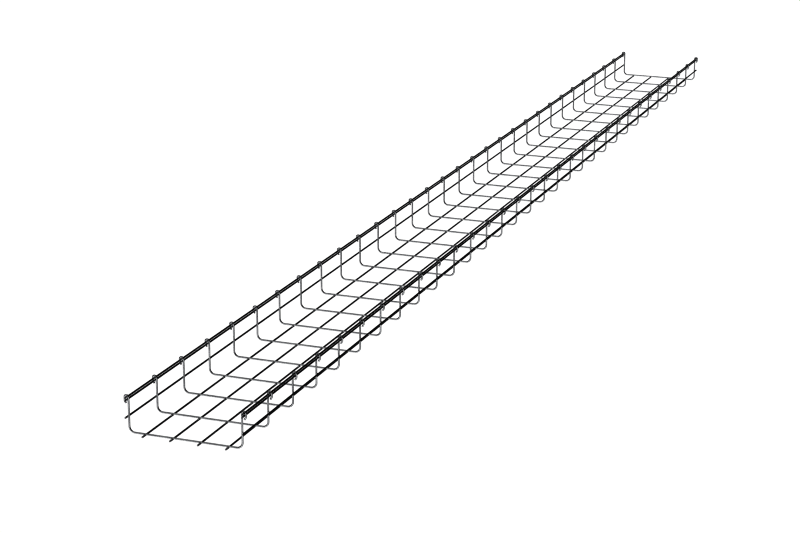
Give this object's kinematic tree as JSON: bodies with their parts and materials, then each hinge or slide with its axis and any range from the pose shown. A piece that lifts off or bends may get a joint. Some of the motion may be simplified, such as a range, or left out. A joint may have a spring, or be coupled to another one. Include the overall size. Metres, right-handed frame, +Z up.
{
  "type": "wire mesh cable basket",
  "caption": "Open U-shaped cable basket of welded steel wire: bent cross wires on straight longitudinal wires, their ends rolled over the rim wires as hooks.",
  "frame": {"origin": "on the level floor under the middle of the basket", "axes": "+X along the basket, +Y to its left wall, +Z up out of the open top"},
  "size_m": [3.015, 0.2204, 0.07],
  "materials": {
    "zinc_wire": "bright zinc plated drawn wire"
  },
  "bodies": {
    "root": {"cross_wire_01": "zinc_wire", "cross_wire_02": "zinc_wire", "cross_wire_03": "zinc_wire", "cross_wire_04": "zinc_wire", "cross_wire_05": "zinc_wire", "cross_wire_06": "zinc_wire", "cross_wire_07": "zinc_wire", "cross_wire_08": "zinc_wire", "cross_wire_09": "zinc_wire", "cross_wire_10": "zinc_wire", "cross_wire_11": "zinc_wire", "cross_wire_12": "zinc_wire", "cross_wire_13": "zinc_wire", "cross_wire_14": "zinc_wire", "cross_wire_15": "zinc_wire", "cross_wire_16": "zinc_wire", "cross_wire_17": "zinc_wire", "cross_wire_18": "zinc_wire", "cross_wire_19": "zinc_wire", "cross_wire_20": "zinc_wire", "cross_wire_21": "zinc_wire", "cross_wire_22": "zinc_wire", "cross_wire_23": "zinc_wire", "cross_wire_24": "zinc_wire", "cross_wire_25": "zinc_wire", "cross_wire_26": "zinc_wire", "cross_wire_27": "zinc_wire", "cross_wire_28": "zinc_wire", "cross_wire_29": "zinc_wire", "cross_wire_30": "zinc_wire", "cross_wire_31": "zinc_wire", "floor_wire_1": "zinc_wire", "floor_wire_2": "zinc_wire", "floor_wire_3": "zinc_wire", "floor_wire_4": "zinc_wire", "side_wire_left": "zinc_wire", "lower_rim_wire_left": "zinc_wire", "upper_rim_wire_left": "zinc_wire", "side_wire_right": "zinc_wire", "lower_rim_wire_right": "zinc_wire", "upper_rim_wire_right": "zinc_wire"}
  },
  "joints": []
}
